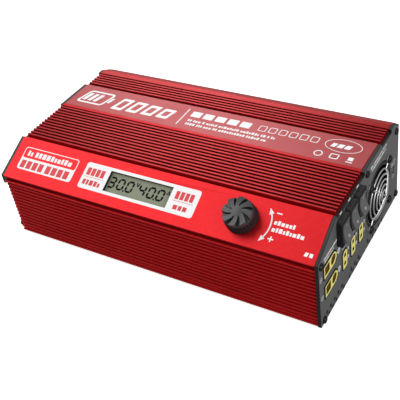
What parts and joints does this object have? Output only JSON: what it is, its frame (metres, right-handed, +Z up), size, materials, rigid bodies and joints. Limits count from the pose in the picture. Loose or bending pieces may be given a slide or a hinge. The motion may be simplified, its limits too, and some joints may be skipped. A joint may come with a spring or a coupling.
{
  "type": "direct-current power supply",
  "caption": "Finned aluminium bench power supply with sloping display face, control knob, rocker switches, yellow output sockets and a guarded fan.",
  "frame": {"origin": "middle of the overall box, on the surface that the feet stand on", "axes": "+X along the extrusion towards the output and fan end, +Y from the display side to the back, +Z up"},
  "size_m": [0.266, 0.1464, 0.0793],
  "materials": {
    "red_anodised": "bright red anodised, satin",
    "label_film": "printed label film, slightly greyer red",
    "dark_plate": "dark grey powder coat",
    "black_screw": "black oxide steel",
    "black_plastic": "moulded black plastic",
    "knob_plastic": "satin black moulded plastic",
    "rocker_plastic": "smooth dark plastic",
    "chrome_wire": "bright plated wire",
    "yellow_plastic": "pale yellow nylon",
    "gold_contact": "gold-plated brass",
    "steel": "nickel-plated steel",
    "lcd_glass": "grey-green display",
    "circuit_board": "green solder mask",
    "rubber": "black rubber",
    "aluminium": "plain extruded",
    "ferrite": "taped and wound cores",
    "capacitor_sleeve": "shrink sleeve"
  },
  "bodies": {
    "housing": {"top_shell": "red_anodised", "bottom_shell": "red_anodised", "top_label": "label_film", "right_end_plate": "dark_plate", "left_end_plate": "dark_plate", "right_plate_screw_1": "black_screw", "left_plate_screw_1": "black_screw", "right_plate_screw_2": "black_screw", "left_plate_screw_2": "black_screw", "right_plate_screw_3": "black_screw", "left_plate_screw_3": "black_screw", "right_plate_screw_4": "black_screw", "left_plate_screw_4": "black_screw", "right_plate_screw_5": "black_screw", "left_plate_screw_5": "black_screw", "fan_frame": "black_plastic", "fan_guard": "chrome_wire", "fan_screw_1": "black_screw", "fan_screw_2": "black_screw", "fan_screw_3": "black_screw", "fan_screw_4": "black_screw", "switch_frame_1": "black_plastic", "switch_frame_2": "black_plastic", "switch_frame_3": "black_plastic", "main_output_socket_1": "yellow_plastic", "main_output_socket_2": "yellow_plastic", "aux_output_socket_1": "yellow_plastic", "aux_output_socket_2": "yellow_plastic", "aux_output_socket_3": "yellow_plastic", "bus_bar_positive": "gold_contact", "bus_bar_negative": "gold_contact", "usb_socket": "steel", "mains_inlet": "black_plastic", "lcd_panel": "lcd_glass", "lcd_bezel": "black_plastic", "display_board": "circuit_board", "potentiometer": "steel", "main_board": "circuit_board", "transformer": "ferrite", "pfc_choke": "ferrite", "emi_choke": "ferrite", "output_inductor": "ferrite", "bulk_capacitor_1": "capacitor_sleeve", "bulk_capacitor_2": "capacitor_sleeve", "output_capacitor_1": "capacitor_sleeve", "output_capacitor_2": "capacitor_sleeve", "primary_heatsink": "aluminium", "secondary_heatsink": "aluminium", "bridge_rectifier": "black_plastic", "fuse": "black_plastic", "foot_1": "rubber", "foot_2": "rubber", "foot_3": "rubber", "foot_4": "rubber"},
    "fan": {"fan_rotor": "black_plastic"},
    "knob": {"control_knob": "knob_plastic", "knob_shaft": "steel"},
    "rocker_a": {"rocker_1": "rocker_plastic"},
    "rocker_b": {"rocker_2": "rocker_plastic"},
    "rocker_c": {"rocker_3": "rocker_plastic"}
  },
  "joints": [
    {"name": "fan_spin", "type": "hinge", "parent": "housing", "child": "fan", "pos_m": [0.12207, 0.0298, 0.034], "axis": [1, 0, 0], "continuous": true},
    {"name": "knob_turn", "type": "hinge", "parent": "housing", "child": "knob", "pos_m": [0.06652, -0.05796, 0.06425], "axis": [0, -0.453, 0.8915], "range_deg": [0, 300]},
    {"name": "rocker_1_tilt", "type": "hinge", "parent": "housing", "child": "rocker_a", "pos_m": [0.12726, -0.038, 0.058], "axis": [0, 1, 0], "range_deg": [0, 22]},
    {"name": "rocker_2_tilt", "type": "hinge", "parent": "housing", "child": "rocker_b", "pos_m": [0.12726, -0.024, 0.058], "axis": [0, 1, 0], "range_deg": [0, 22]},
    {"name": "rocker_3_tilt", "type": "hinge", "parent": "housing", "child": "rocker_c", "pos_m": [0.12726, -0.01, 0.058], "axis": [0, 1, 0], "range_deg": [0, 22]}
  ]
}
